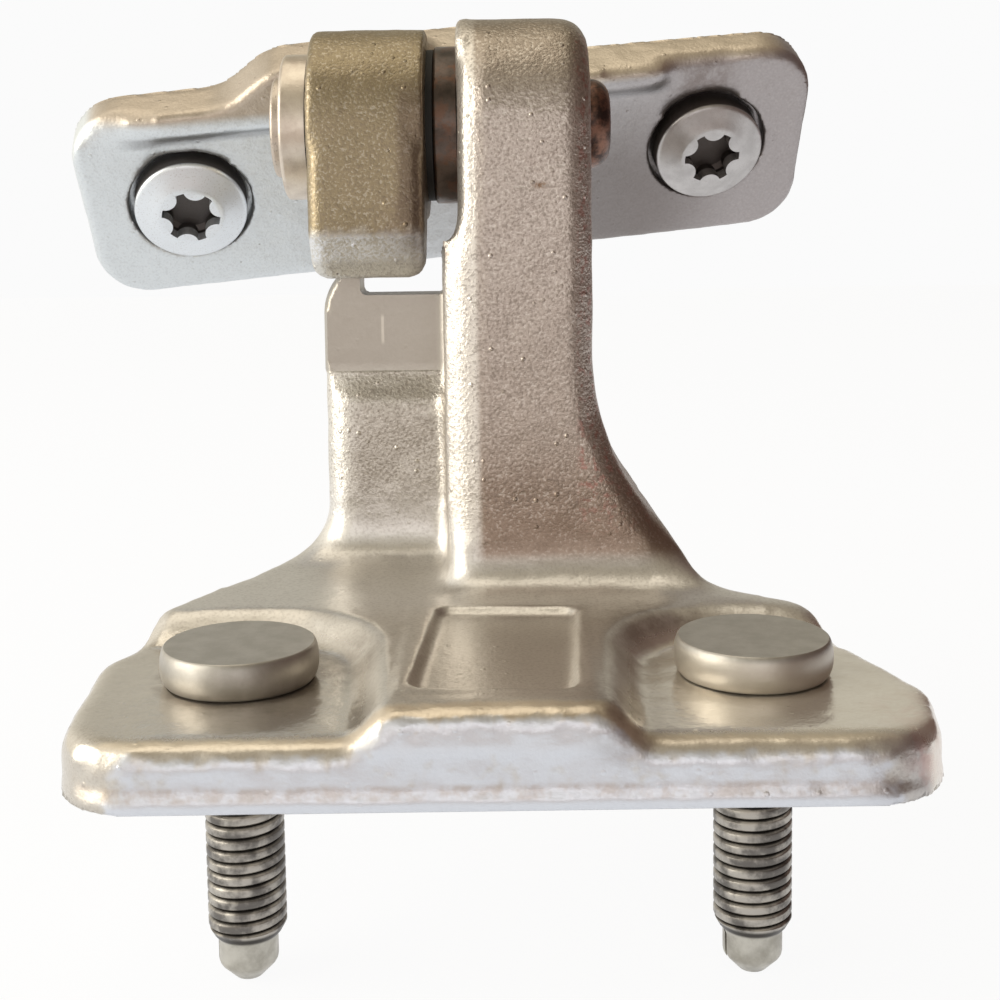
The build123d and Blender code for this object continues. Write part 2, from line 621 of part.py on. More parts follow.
nodes = {
    "pillar_bracket": bracket(),
    "stud_left": Pos(-STUD_X, 0, 0) * one_stud,
    "stud_right": Pos(STUD_X, 0, 0) * one_stud,
    "hinge_pin": pin,
    "retaining_washer": washer,
    "thrust_ring": ring,
    "bush_left": door * bush(EYE_LEFT - BUSH_SHOW_LEFT, 1),
    "bush_right": door * bush(EYE_RIGHT, -1),
    "door_leaf": door * leaf(),
    "door_screw_left": on_plate * Pos(-SCREW_SPACING / 2, 0, 0) * one_screw,
    "door_screw_right": on_plate * Pos(SCREW_SPACING / 2, 0, 0) * one_screw,
}

os.makedirs("parts", exist_ok=True)
for name, shape in nodes.items():
    export_step(shape, f"parts/{name}.step")
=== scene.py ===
"""Looks of a forged car door hinge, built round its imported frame.

Metres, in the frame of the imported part: the origin lies on the mounting face midway between the
studs, +Z points away from the pillar, +X runs along the hinge pin, +Y from the studs to the pin.
"""

import math

import bpy
from mathutils import Matrix, Vector


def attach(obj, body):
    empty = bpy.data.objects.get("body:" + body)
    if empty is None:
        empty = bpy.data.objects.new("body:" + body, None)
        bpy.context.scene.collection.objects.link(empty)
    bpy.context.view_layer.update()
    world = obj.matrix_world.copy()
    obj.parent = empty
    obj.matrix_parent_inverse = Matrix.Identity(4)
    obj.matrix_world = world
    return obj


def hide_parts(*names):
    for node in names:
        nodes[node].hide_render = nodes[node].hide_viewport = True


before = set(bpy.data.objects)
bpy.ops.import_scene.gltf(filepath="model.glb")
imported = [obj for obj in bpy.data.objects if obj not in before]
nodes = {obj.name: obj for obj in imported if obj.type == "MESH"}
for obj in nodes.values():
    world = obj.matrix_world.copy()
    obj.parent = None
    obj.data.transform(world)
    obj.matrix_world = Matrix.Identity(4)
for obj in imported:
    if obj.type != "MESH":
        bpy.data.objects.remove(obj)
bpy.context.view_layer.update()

MM = 0.001

# Camera, as it stood for the photograph
IMAGE = 1000
FOCAL_PX = 1500
AXIS_PX_Y = 343
SENSOR = 36.0
CAMERA_AT = Vector((0.8, -148.1, 54.9)) * MM
CAMERA_PITCH = math.radians(5.7)
CAMERA_ROLL = 0.014

# Pin axis and the leaf's plate, as in the solids
PIN = Vector((0, 34.5, 63.1)) * MM
OPEN_ANGLE = math.radians(34)
LEAF_ORIGIN = Vector((-5.5, 22.55, -22.0)) * MM
LEAF_YAW = math.radians(8)
LEAF_TILT = math.radians(1.5)
LEAF_THICK = 6 * MM
SCREW_HALF_SPACING = 36.8 * MM

# Studs and screws, M8 with a coarse thread
THREAD_R = 4.0 * MM
THREAD_ROOT_R = 3.62 * MM
PITCH = 1.25 * MM
STUD_X = 26 * MM
STUD_TIP_Z = -25 * MM
STUD_POINT_R = 3.05 * MM
STUD_POINT_LENGTH = 4.6 * MM
STUD_SEAT_Z = 6.4 * MM
STUD_SEAT_R = 4.6 * MM
STUD_HEAD_R = 8.0 * MM
STUD_HEAD_HEIGHT = 3.7 * MM
SCREW_SEAT_Z = -2.4 * MM
SCREW_HEAD_R = 7.7 * MM
COUNTERBORE_R = 8.35 * MM
SCREW_TIP_Z = -24.4 * MM
SOCKET_R = 3.965 * MM
SOCKET_FLUTE_R = 1.6 * MM
SOCKET_FLUTE_AT = 4.42 * MM
SOCKET_FLOOR_Z = 0.1 * MM
SOCKET_TURN_LEFT = math.radians(14)
SOCKET_TURN_RIGHT = math.radians(28)
LOBES = 6
# One pitch of the rolled thread from root to root: steps out as shares of its depth, up of its pitch
THREAD_STEPS = (
    (0.5, 0.10), (0.38, 0.09), (0.12, 0.08), (0.0, 0.46), (-0.12, 0.08), (-0.38, 0.09), (-0.5, 0.10),
)
THREAD_WELD = 0.004 * MM

# Meshes of the forgings, and the milled face on one
BRACKET_GRID = 0.5 * MM
LEAF_GRID = 0.4 * MM
SOLID_WELD = 0.001 * MM
EDGE_DRAWN_IN = 0.18 * MM
STOP_FACE_Y_MM = 37.5

# Sizes in the finishes
SKIN_GRAIN = 0.36 * MM
SKIN_WAVE = 1.4 * MM
BEAD_SPACING = 1.2 * MM
TURNED_GRAIN = 0.3 * MM
PLATED_GRAIN = 0.22 * MM

# Floor under the stud tips, and the room round it
FLOOR_AT = (-0.05, 0.475, STUD_TIP_Z)
FLOOR_SIZE = (1.1, 1.2, 1)
ROOM_R = 1.5
FLOOR_GLOW = 0.93
BACKDROP = (0.964, 0.964, 0.964)


class Value:
    """One socket of a node tree. Arithmetic on it adds Math nodes."""

    def __init__(self, graph, socket):
        self.graph = graph
        self.socket = socket

    def _math(self, operation, first, second):
        return self.graph.node("ShaderNodeMath", {"operation": operation}, {0: first, 1: second})

    def __add__(self, other):
        return self._math("ADD", self, other)

    def __radd__(self, other):
        return self._math("ADD", other, self)

    def __sub__(self, other):
        return self._math("SUBTRACT", self, other)

    def __rsub__(self, other):
        return self._math("SUBTRACT", other, self)

    def __mul__(self, other):
        return self._math("MULTIPLY", self, other)

    def __rmul__(self, other):
        return self._math("MULTIPLY", other, self)


class Graph:
    """The nodes of one material, placed by its piece's own coordinates."""

    def __init__(self, material):
        material.use_nodes = True
        self.tree = material.node_tree
        self.place = self.node("ShaderNodeTexCoord", {}, {}, "Object")

    def node(self, kind, settings, inputs, output=0):
        """Adds one node: its settings first, then its sockets' values or links."""
        made = self.tree.nodes.new(kind)
        for key, value in settings.items():
            setattr(made, key, value)
        for key, value in inputs.items():
            self.feed(made.inputs[key], value)
        return Value(self, made.outputs[output])

    def feed(self, socket, value):
        if isinstance(value, Value):
            self.tree.links.new(value.socket, socket)
        elif socket.type == "RGBA" and len(value) == 3:
            socket.default_value = (*value, 1.0)
        else:
            socket.default_value = value

    def noise(self, size, detail, roughness):
        """Soft noise from 0 to 1 whose lumps are about size metres."""
        inputs = {"Vector": self.place, "Scale": 1 / size, "Detail": detail, "Roughness": roughness}
        return self.node("ShaderNodeTexNoise", {}, inputs)

    def cells(self, size, output):
        """Voronoi cells about size metres wide: output is Distance, or a random Color per cell."""
        return self.node("ShaderNodeTexVoronoi", {}, {"Vector": self.place, "Scale": 1 / size}, output)

    def between(self, value, low, high):
        """0 up to low and 1 from high on, smooth between them; low may be the larger."""
        settings = {"interpolation_type": "SMOOTHSTEP", "clamp": True}
        inputs = {"Value": value, "From Min": low, "From Max": high}
        return self.node("ShaderNodeMapRange", settings, inputs)

    def mix(self, first, second, factor):
        """Colour from first to second."""
        settings = {"data_type": "RGBA", "clamp_factor": True}
        return self.node("ShaderNodeMix", settings, {0: factor, 6: first, 7: second}, 2)

    def axis(self, name):
        """One coordinate of the surface point."""
        return self.node("ShaderNodeSeparateXYZ", {}, {0: self.place}, name)

    def near(self, point, inner, outer):
        """1 within inner of a point and 0 beyond outer, all in millimetres."""
        inputs = {0: self.place, 1: Vector(point) * MM}
        gap = self.node("ShaderNodeVectorMath", {"operation": "DISTANCE"}, inputs, "Value")
        return self.between(gap, outer * MM, inner * MM)

    def along(self, direction, origin):
        """How far the surface point lies from an origin along a direction."""
        inputs = {0: self.place, 1: direction}
        reach = self.node("ShaderNodeVectorMath", {"operation": "DOT_PRODUCT"}, inputs, "Value")
        return reach - direction.dot(origin)

    def span(self, name, low, high, soft):
        """1 where a coordinate lies from low to high, with soft ends, in millimetres."""
        value = self.axis(name)
        rise = self.between(value, (low - soft) * MM, low * MM)
        return rise * self.between(value, (high + soft) * MM, high * MM)

    def bump(self, height, distance):
        """Normal from a height field of about 0 to 1."""
        return self.node("ShaderNodeBump", {}, {"Height": height, "Distance": distance})


class Finish(Graph):
    """A material in the making, with its main shader."""

    def __init__(self, name):
        self.material = bpy.data.materials.new(name)
        super().__init__(self.material)
        self.shader = self.tree.nodes["Principled BSDF"]

    def surface(self, **sockets):
        """Feeds the shader's sockets; underscores stand for spaces."""
        for name, value in sockets.items():
            self.feed(self.shader.inputs[name.replace("_", " ")], value)
        return self.material


def blasted_skin(f, calm):
    """Height, grain, waves and pinholes of a shot-blasted forging; calm, from 0 to 1, evens it out."""
    grain = f.noise(SKIN_GRAIN, 1.0, 0.6)
    waves = f.noise(SKIN_WAVE, 1.0, 0.5)
    gap = f.cells(BEAD_SPACING, "Distance")
    chance = f.cells(BEAD_SPACING, "Color")
    bead_chance = f.node("ShaderNodeSeparateColor", {}, {0: chance}, 0)
    hole_chance = f.node("ShaderNodeSeparateColor", {}, {0: chance}, 1)
    bead = f.between(gap, 0.27, 0.07) * f.between(bead_chance, 0.80, 0.84)
    hole = f.between(gap, 0.155, 0.07) * f.between(hole_chance, 0.965, 0.975)
    hole = hole * f.between(bead_chance, 0.79, 0.75)
    lively = 1 - calm
    height = (grain * 0.55 + bead * 0.8 - hole * 0.5) * lively + waves * 0.45 * (1 - calm * 0.6)
    return height, grain, waves, hole * lively


# Tints of a blasted skin
PIT_DARK = (0.24, 0.20, 0.17)
FLECK_BRIGHT = (0.84, 0.80, 0.74)


def sparkle(f, colour, grain, amount):
    """Dark pits and bright flecks of a blasted skin."""
    colour = f.mix(colour, PIT_DARK, f.between(grain, 0.50, 0.68) * amount)
    return f.mix(colour, FLECK_BRIGHT, f.between(grain, 0.47, 0.30) * amount * 0.7)


# Tints of the pillar forging
STEEL_DULL = (0.49, 0.455, 0.405)
STEEL_FRESH = (0.56, 0.525, 0.475)
ARM_BROWN = (0.47, 0.395, 0.345)
ARM_MAUVE = (0.53, 0.465, 0.425)
CROWN_SHADE_OLIVE = (0.28, 0.23, 0.17)
ARM_FOOT_SHADE_BROWN = (0.28, 0.20, 0.15)
FOOT_SILVER = (0.68, 0.645, 0.59)
BAND_HIGHLIGHT_CREAM = (0.95, 0.92, 0.86)
EDGE_HIGHLIGHT_CREAM = (0.95, 0.93, 0.88)
REAR_SILVER = (0.78, 0.77, 0.76)
HOLE_BROWN = (0.13, 0.09, 0.07)
MILLED_GREY = (0.47, 0.44, 0.395)
RIM_HIGHLIGHT_TAN = (0.84, 0.73, 0.57)
RIM_BROWN = (0.42, 0.35, 0.28)
FRONT_REFLECTION_COOL = (0.71, 0.75, 0.83)
FLASH_SHADE_BROWN = (0.47, 0.39, 0.33)
CORNER_SHADE_SLATE = (0.42, 0.42, 0.46)
SOIL_BROWN = (0.16, 0.105, 0.065)
GREASE_BROWN = (0.15, 0.10, 0.065)
RUST_RED = (0.42, 0.20, 0.17)
RUST_ORANGE = (0.30, 0.13, 0.05)
RUST_CORNER = (0.42, 0.15, 0.12)
STAIN_BROWN = (0.22, 0.13, 0.07)
SCRATCH_BRIGHT = (0.80, 0.76, 0.68)
POCKET_SILVER = (0.70, 0.65, 0.575)
POCKET_REFLECTION_BRIGHT = (0.96, 0.91, 0.83)


def bracket_finish():
    """Pillar forging: blasted silver-grey steel, grease in the hollows; a painted cool reflection on the
    front face under a painted tan highlight on the rim, painted cream highlights and painted shade on the
    arm.
    """
    f = Finish("bracket_steel")
    across, depth, height = f.axis("X"), f.axis("Y"), f.axis("Z")
    milled = f.span("Y", 37.2, 46, 0.2) * f.span("Z", 33.2, 60, 0.3) * f.span("X", -30, -6, 0.3)
    foot = f.between(height, 21 * MM, 13 * MM)
    calm = f.node("ShaderNodeMath", {"operation": "MAXIMUM"}, {0: milled * 0.9, 1: foot * 0.75})
    skin, grain, waves, hole = blasted_skin(f, calm)
    cloud = f.noise(14 * MM, 1.0, 0.5)
    soil = f.noise(2.6 * MM, 3.0, 0.65)
    rust = f.between(f.noise(0.9 * MM, 2.0, 0.7), 0.50, 0.66)

    colour = f.mix(STEEL_DULL, STEEL_FRESH, f.between(cloud, 0.3, 0.7))
    on_arm = f.between(height, 12 * MM, 20 * MM) * f.between(across, -7 * MM, -3 * MM)
    arm = f.mix(ARM_BROWN, ARM_MAUVE, f.between(height, 18 * MM, 56 * MM))
    colour = f.mix(colour, arm, on_arm * 0.85)
    # Painted shade: the rounded top of the arm is darkened olive, as it faces the dim room overhead.
    crown_shade = on_arm * f.between(height, 60 * MM, 77 * MM)
    colour = f.mix(colour, CROWN_SHADE_OLIVE, crown_shade * 0.85)
    # Painted shade: the foot of the arm, where it blends into the plate, is darkened brown.
    arm_foot_shade = f.between(height, 11 * MM, 14 * MM) * f.between(height, 30 * MM, 16 * MM)
    arm_foot_shade = arm_foot_shade * f.between(across, -3 * MM, -1 * MM)
    colour = f.mix(colour, ARM_FOOT_SHADE_BROWN, arm_foot_shade * 0.85)
    colour = f.mix(colour, FOOT_SILVER, foot * (1 - arm_foot_shade) * 0.45)
    # Painted highlight: a cream band down the broadly rounded left front edge of the arm, lit from the
    # window side.
    lit_band = on_arm * f.span("X", -5.2, -2.2, 0.9) * f.between(height, 82 * MM, 66 * MM)
    colour = f.mix(colour, BAND_HIGHLIGHT_CREAM, lit_band * 0.75)
    # Painted highlight: the left part of the shoulder under the stop face is lightened cream, toward the
    # window.
    lit_left_edge = f.between(across, -16.2 * MM, -18.4 * MM) * f.span("Z", 13, 32, 2.5)
    colour = f.mix(colour, EDGE_HIGHLIGHT_CREAM, lit_left_edge * 0.5)
    rear = foot * f.between(depth, 8 * MM, 17 * MM) * (1 - arm_foot_shade)
    colour = f.mix(colour, REAR_SILVER, rear * 0.4)
    colour = sparkle(f, colour, grain, 0.46 - calm * 0.40)
    colour = f.mix(colour, HOLE_BROWN, hole * 0.8)
    colour = f.mix(colour, MILLED_GREY, milled * 0.8)

    wavy = depth + (waves - 0.5) * 0.9 * MM
    # Painted highlight: the top front rim of the plate is painted tan along a wavy line; along its middle
    # the highlight is dimmer and browner.
    rim = f.between(wavy, -16.6 * MM, -17.6 * MM) * f.between(height, 5 * MM, 6.5 * MM)
    colour = f.mix(colour, RIM_HIGHLIGHT_TAN, rim * 0.7)
    rim_mid = rim * f.span("X", -14, 20, 5)
    colour = f.mix(colour, RIM_BROWN, rim_mid * 0.35)
    # Painted reflection: the front face of the plate is painted a pale cool white, as if mirroring the
    # bright floor and cool light in front.
    front = f.between(wavy, -18.5 * MM, -19.0 * MM)
    colour = f.mix(colour, FRONT_REFLECTION_COOL, front * 0.85)
    # Painted shade: a brown line just above the parting line's bead, broken up by noise.
    flash_shade = f.between(depth, -16 * MM, -18 * MM) * f.span("Z", 1.4, 2.2, 0.5)
    colour = f.mix(colour, FLASH_SHADE_BROWN, flash_shade * f.between(soil, 0.38, 0.62) * 0.5)
    # Painted shade: the right front corner of the plate is darkened slate grey.
    right_front_shade = f.between(depth, -12 * MM, -16 * MM) * f.between(across, 30 * MM, 40 * MM)
    colour = f.mix(colour, CORNER_SHADE_SLATE, right_front_shade * 0.5)

    for point, inner, outer, amount in (
        ((-18, 1, 6.4), 3.5, 9.5, 0.55),
        ((37, 3, 6.4), 2, 6, 0.5),
        ((18, 9, 8), 3, 9, 0.4),
        ((12, -16, 8), 2, 7, 0.45),
    ):
        patch = f.near(point, inner, outer) * f.between(soil, 0.30, 0.66) * amount
        colour = f.mix(colour, SOIL_BROWN, patch)
    for side in (-STUD_X, STUD_X):
        ring = f.near((side / MM, 0, 6.4), 8.2, 9.4) * f.between(soil, 0.25, 0.55)
        colour = f.mix(colour, GREASE_BROWN, ring * 0.55)
    right_edge = f.span("X", 10.2, 30, 1.0) * f.span("Z", 22, 90, 8) * f.between(depth, 50 * MM, 20 * MM)
    colour = f.mix(colour, RUST_RED, right_edge * rust * 0.65)
    ring_side = f.span("X", -7, -4.6, 0.8) * f.span("Z", 50, 62, 3) * rust
    colour = f.mix(colour, RUST_ORANGE, ring_side * 0.8)
    corner = f.near((42, -13, 5), 3, 9) * f.between(soil, 0.36, 0.62)
    colour = f.mix(colour, RUST_CORNER, corner * 0.7)
    stain = f.span("X", 5.2, 5.9, 0.8) * f.span("Z", 55.7, 55.8, 0.5) * f.between(depth, 30 * MM, 27 * MM)
    colour = f.mix(colour, STAIN_BROWN, stain * f.between(grain, 0.70, 0.40) * 0.9)
    scratch = f.span("X", -13.85, -13.65, 0.15) * f.span("Z", 37.0, 39.6, 0.8) * milled
    colour = f.mix(colour, SCRATCH_BRIGHT, scratch * 0.6)

    # The pocket floors are lightened silver and smoother; right of the right stud the floor is painted
    # brighter still, a painted reflection of the stud head.
    pocket = f.between(height, 8.2 * MM, 7.0 * MM) * f.between(depth, -17.5 * MM, -16 * MM)
    colour = f.mix(colour, POCKET_SILVER, pocket * 0.3)
    colour = f.mix(colour, POCKET_REFLECTION_BRIGHT, pocket * f.between(across, 12 * MM, 20 * MM) * 0.62)
    rough = 0.30 + grain * 0.16 - foot * 0.04 - pocket * 0.12
    return f.surface(Base_Color=colour, Metallic=0.82, Roughness=rough, Normal=f.bump(skin, 0.14 * MM))


# Tints of the door forging
LEAF_SHADED_MAUVE = (0.43, 0.40, 0.405)
LEAF_LIT_COOL = (0.71, 0.755, 0.79)
EYE_SHADED_OLIVE = (0.26, 0.21, 0.13)
EYE_SHADED_TAN = (0.33, 0.27, 0.175)
EYE_HIGHLIGHT_CREAM = (0.80, 0.74, 0.58)
EYE_SHADE = (0.13, 0.09, 0.07)
TOE_LIT_SILVER = (0.62, 0.61, 0.575)
TOE_GLINT = (0.88, 0.91, 0.97)
RIB_HIGHLIGHT_CREAM = (0.74, 0.64, 0.50)
RIB_HIGHLIGHT_TAN = (0.50, 0.40, 0.29)
CREASE_SHADE_GREY = (0.27, 0.275, 0.29)
LEAF_SHADE = (0.16, 0.135, 0.125)
LEAF_HOLE = (0.11, 0.08, 0.06)
LEAF_SOIL = (0.15, 0.105, 0.085)


def leaf_finish():
    """Door forging with painted light and shade: plate pale and cool to the left and mauve-grey to the
    right, eye olive-brown above a pale toe.
    """
    f = Finish("leaf_steel")
    across, depth, height = f.axis("X"), f.axis("Y"), f.axis("Z")
    on_eye = f.span("X", -24, -7, 0.3) * f.between(depth, 52 * MM, 44 * MM)
    skin, grain, waves, hole = blasted_skin(f, (1 - on_eye) * 0.5)
    uneven = height + (waves - 0.5) * 2.4 * MM
    above_toe = on_eye * f.between(uneven, 49.2 * MM, 51.6 * MM)
    on_leaf = leaf_frame()
    up = f.along(on_leaf.to_3x3() @ Vector((0, 1, 0)), on_leaf.translation)
    cloud = f.noise(13 * MM, 1.0, 0.5)
    soil = f.noise(2.2 * MM, 3.0, 0.65)
    # Painted light and shade: the plate is painted pale and cool to the left, toward the window, and
    # mauve-grey to the right, away from it.
    plate = f.mix(LEAF_SHADED_MAUVE, LEAF_LIT_COOL, f.between(across, 40 * MM, -34 * MM))
    eye = f.mix(EYE_SHADED_OLIVE, EYE_SHADED_TAN, f.between(cloud, 0.3, 0.7))
    # Painted highlight: the top edge of the plate and its rib is painted cream to the right and tan to the
    # left, as lit from above.
    top = f.mix(RIB_HIGHLIGHT_CREAM, RIB_HIGHLIGHT_TAN, f.between(across, 4 * MM, -14 * MM))
    plate = f.mix(plate, top, f.between(up, 13.0 * MM, 14.6 * MM) * 0.8)
    # Painted shade: a grey line in the groove under the rib.
    crease_shade = f.between(up, 9.4 * MM, 10.4 * MM) * f.between(up, 12.0 * MM, 11.2 * MM)
    plate = f.mix(plate, CREASE_SHADE_GREY, crease_shade * f.span("X", -47, 22, 4) * 0.6)
    # Painted light and shade: across the eye, the toe's front-and-down face below a wavy line is painted
    # pale silver, lit from the floor, and the rounded eye above it olive-brown, shaded from the dim room
    # overhead.
    colour = f.mix(plate, TOE_LIT_SILVER, on_eye)
    colour = f.mix(colour, eye, above_toe)
    # Painted highlight: the eye's left end is lightened cream, toward the window.
    lit_eye_left = on_eye * f.between(across, -21.4 * MM, -22.8 * MM) * f.span("Z", 40, 65, 4)
    colour = f.mix(colour, EYE_HIGHLIGHT_CREAM, lit_eye_left * 0.5)
    colour = sparkle(f, colour, grain, 0.10 + on_eye * 0.22)
    toe_edge = on_eye * f.span("Z", 48.0, 49.6, 1.2) * f.between(depth, 34 * MM, 28 * MM)
    colour = f.mix(colour, TOE_GLINT, toe_edge * f.between(grain, 0.36, 0.60) * 0.7)
    eye_right = on_eye * f.between(across, -11.2 * MM, -9.8 * MM) * f.span("Z", 53, 65, 4)
    colour = f.mix(colour, EYE_SHADE, eye_right * 0.6)
    in_shade = f.near((18, 71, 52), 5, 21)
    colour = f.mix(colour, LEAF_SHADE, in_shade * 0.65)
    colour = f.mix(colour, LEAF_HOLE, hole * 0.8)
    for point, inner, outer, amount in (
        ((-7.5, 26, 52), 2, 8, 0.7),
        ((-21, 34, 63), 3, 11, 0.3),
        ((30, 62, 69), 2, 6, 0.5),
    ):
        patch = f.near(point, inner, outer) * f.between(soil, 0.28, 0.62) * amount
        colour = f.mix(colour, LEAF_SOIL, patch)
    rough = 0.29 + grain * 0.16 + waves * 0.06
    return f.surface(Base_Color=colour, Metallic=0.8, Roughness=rough, Normal=f.bump(skin, 0.13 * MM))


# Tints of the door screws
SCREW_DULL = (0.46, 0.445, 0.445)
SCREW_FRESH = (0.58, 0.565, 0.565)
SCREW_LIT_COOL = (0.80, 0.85, 0.90)
SCREW_GRAIN = (0.36, 0.33, 0.30)
SCREW_SIDE_SHADE = (0.055, 0.042, 0.036)


def screw_finish():
    """Pale plated screw, the left one painted paler as lit; painted shade darkens its sunk side and its
    socket recess.
    """
    f = Finish("screw_steel")
    on_leaf = leaf_frame()
    raised = f.along(on_leaf.to_3x3() @ Vector((0, 0, 1)), on_leaf.translation)
    grain = f.noise(PLATED_GRAIN, 2.0, 0.6)
    stain = f.noise(2.6 * MM, 4.0, 0.55)
    colour = f.mix(SCREW_DULL, SCREW_FRESH, f.between(stain, 0.3, 0.7))
    # Painted light: the left screw, nearer the window, is painted paler and cooler.
    colour = f.mix(colour, SCREW_LIT_COOL, f.between(f.axis("X"), 10 * MM, -30 * MM) * 0.85)
    colour = f.mix(colour, SCREW_GRAIN, f.between(grain, 0.55, 0.75) * 0.4)
    # Painted shade: the head's side, sunk in the counterbore, and the lower part of its socket recess are
    # darkened nearly black.
    sunk = f.between(raised, 1.45 * MM, 1.05 * MM) * f.between(raised, -5.5 * MM, -3.5 * MM)
    colour = f.mix(colour, SCREW_SIDE_SHADE, sunk * 0.93)
    normal = f.bump(grain * 0.6 + stain * 0.4, 0.03 * MM)
    rough = 0.29 + grain * 0.12 + sunk * 0.15
    return f.surface(Base_Color=colour, Metallic=0.85, Roughness=rough, Normal=normal)


# Rust on turned pieces
TURNED_RUST = (0.21, 0.085, 0.04)


def turned_finish(name, tint, shade, rust, roughness, metallic):
    """Plain turned piece, of metal or polymer: fine grain, faint staining, rust in patches."""
    f = Finish(name)
    grain = f.noise(TURNED_GRAIN, 2.0, 0.6)
    stain = f.noise(3.2 * MM, 4.0, 0.55)
    colour = f.mix(shade, tint, f.between(stain, 0.30, 0.66))
    colour = f.mix(colour, shade, f.between(grain, 0.55, 0.75) * 0.4)
    patch = f.between(f.noise(2.1 * MM, 6.0, 0.65), 0.46, 0.60) * rust
    colour = f.mix(colour, TURNED_RUST, patch)
    normal = f.bump(grain * 0.6 + stain * 0.4, 0.03 * MM)
    rough = roughness + grain * 0.10 + patch * 0.2
    return f.surface(Base_Color=colour, Metallic=metallic, Roughness=rough, Normal=normal)


# Tints of the pin
PIN_BLACK = (0.06, 0.04, 0.035)
PIN_RUST = (0.24, 0.13, 0.095)
PIN_CLEAN = (0.64, 0.57, 0.49)
PIN_GRAIN = (0.06, 0.045, 0.04)


def pin_finish():
    """Pin: rusty black at its right end, wiped clean where it is peened over the washer."""
    f = Finish("pin_steel")
    grain = f.noise(TURNED_GRAIN, 2.0, 0.6)
    stain = f.noise(2.1 * MM, 5.0, 0.6)
    colour = f.mix(PIN_BLACK, PIN_RUST, f.between(stain, 0.40, 0.62))
    clean = f.between(f.axis("X"), -12 * MM, -20 * MM)
    colour = f.mix(colour, PIN_CLEAN, clean * 0.85)
    colour = f.mix(colour, PIN_GRAIN, f.between(grain, 0.55, 0.75) * 0.4)
    normal = f.bump(grain * 0.5 + stain * 0.5, 0.06 * MM)
    return f.surface(Base_Color=colour, Metallic=0.85, Roughness=0.32 + grain * 0.12, Normal=normal)


# Tints of the studs
HEAD_DULL = (0.41, 0.39, 0.355)
HEAD_FRESH = (0.49, 0.47, 0.435)
HEAD_SIDE_LIGHT = (0.72, 0.67, 0.59)
CREST_WORN = (0.15, 0.14, 0.13)
CREST_BRIGHT = (0.46, 0.435, 0.395)
GROOVE_BLACK = (0.05, 0.045, 0.04)
POINT_DULL = (0.36, 0.34, 0.295)
POINT_BRIGHT = (0.56, 0.54, 0.485)
STUD_RUST = (0.20, 0.11, 0.06)


def stud_finish():
    """Plated studs: clean satin head, bright thread crests over black grease, bright point."""
    f = Finish("stud_steel")
    grain = f.noise(PLATED_GRAIN, 2.0, 0.6)
    stain = f.noise(2.4 * MM, 4.0, 0.6)
    height = f.axis("Z")
    aside = f.node("ShaderNodeMath", {"operation": "ABSOLUTE"}, {0: f.axis("X")}) - STUD_X
    radius_squared = aside * aside + f.axis("Y") * f.axis("Y")
    crest = f.between(radius_squared, (3.66 * MM) ** 2, (3.90 * MM) ** 2)
    head = f.mix(HEAD_DULL, HEAD_FRESH, f.between(stain, 0.3, 0.7))
    worn = f.mix(CREST_WORN, CREST_BRIGHT, f.between(stain, 0.38, 0.62))
    thread = f.mix(GROOVE_BLACK, worn, crest)
    point = f.mix(POINT_DULL, POINT_BRIGHT, f.between(stain, 0.3, 0.7))
    # Painted light: the side of the right stud's head is lightened.
    side = f.between(height, STUD_SEAT_Z + 3.5 * MM, STUD_SEAT_Z + 2.9 * MM)
    head = f.mix(head, HEAD_SIDE_LIGHT, side * f.between(f.axis("X"), 0.0, 20 * MM) * 0.55)
    colour = f.mix(thread, head, f.between(height, 0.0, 2 * MM))
    colour = f.mix(colour, point, f.between(height, STUD_TIP_Z + 4.9 * MM, STUD_TIP_Z + 4.4 * MM))
    fresh_rust = f.between(height, -2.2 * MM, -0.4 * MM) * f.between(height, 1 * MM, 0.0)
    colour = f.mix(colour, STUD_RUST, fresh_rust * f.between(stain, 0.45, 0.6) * 0.7)
    normal = f.bump(grain * 0.6 + stain * 0.4, 0.022 * MM)
    rough = 0.31 + grain * 0.12 + f.between(height, 0.0, 2 * MM) * 0.06
    return f.surface(Base_Color=colour, Metallic=0.85, Roughness=rough, Normal=normal)


def select_none():
    bpy.ops.object.select_all(action="DESELECT")


def take(piece):
    """Makes a piece the one that operators act on."""
    select_none()
    piece.select_set(True)
    bpy.context.view_layer.objects.active = piece


def rename(piece, name):
    piece.name = name
    piece.data.name = name


def apply_modifier(piece, name, kind, **settings):
    take(piece)
    made = piece.modifiers.new(name, kind)
    for key, value in settings.items():
        setattr(made, key, value)
    bpy.ops.object.modifier_apply(modifier=made.name)


def turned(name, rings, count=96):
    """A closed turned shape about Z: each (radius, height) ring is extruded from the one before."""
    radius, height = rings[0]
    select_none()
    bpy.ops.mesh.primitive_circle_add(
        vertices=count, radius=radius, fill_type="NGON", location=(0, 0, height)
    )
    piece = bpy.context.object
    rename(piece, name)
    bpy.ops.object.transform_apply(location=True, rotation=True, scale=True)
    bpy.ops.object.mode_set(mode="EDIT")
    bpy.ops.mesh.select_all(action="SELECT")
    for next_radius, next_height in rings[1:]:
        bpy.ops.mesh.extrude_region_move(TRANSFORM_OT_translate={"value": (0, 0, next_height - height)})
        share = next_radius / radius
        bpy.ops.transform.resize(value=(share, share, 1), center_override=(0, 0, next_height))
        radius, height = next_radius, next_height
    bpy.ops.mesh.select_all(action="SELECT")
    bpy.ops.mesh.normals_make_consistent(inside=False)
    bpy.ops.object.mode_set(mode="OBJECT")
    return piece


def combine(piece, other, operation):
    """Boolean of two closed pieces; the second is used up."""
    apply_modifier(piece, "combine", "BOOLEAN", operation=operation, object=other, solver="EXACT")
    bpy.data.objects.remove(other)


def join(first, *others):
    take(first)
    for other in others:
        other.select_set(True)
    bpy.ops.object.join()


